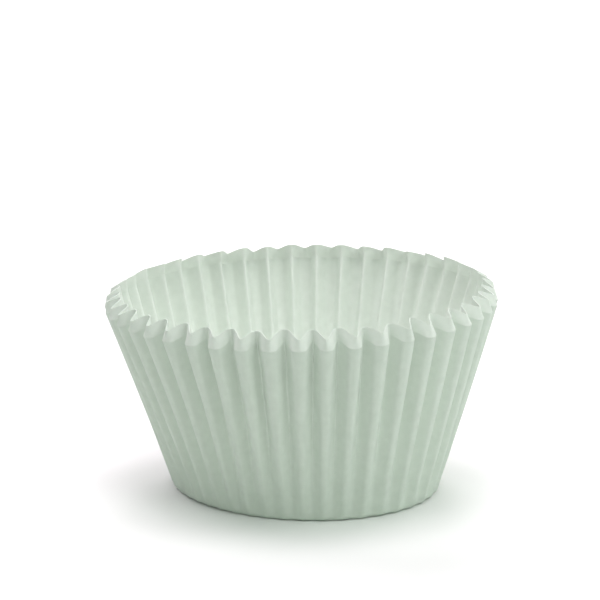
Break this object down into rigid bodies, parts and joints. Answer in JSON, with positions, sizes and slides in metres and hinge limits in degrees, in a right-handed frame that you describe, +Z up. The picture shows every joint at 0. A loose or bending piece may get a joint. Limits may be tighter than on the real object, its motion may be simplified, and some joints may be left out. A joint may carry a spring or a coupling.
{
  "type": "cupcake liner",
  "caption": "Round paper baking cup with a flat base, an outward-leaning pleated wall and a short lip above a crease near the rim.",
  "frame": {"origin": "centre of the underside of the flat base", "axes": "+Z up along the cup's axis, towards the open mouth; X and Y are alike"},
  "size_m": [0.0754, 0.0754, 0.0393],
  "materials": {
    "paper": "matte, slightly translucent greaseproof paper"
  },
  "bodies": {
    "root": {"cupcake_liner": "paper"}
  },
  "joints": []
}
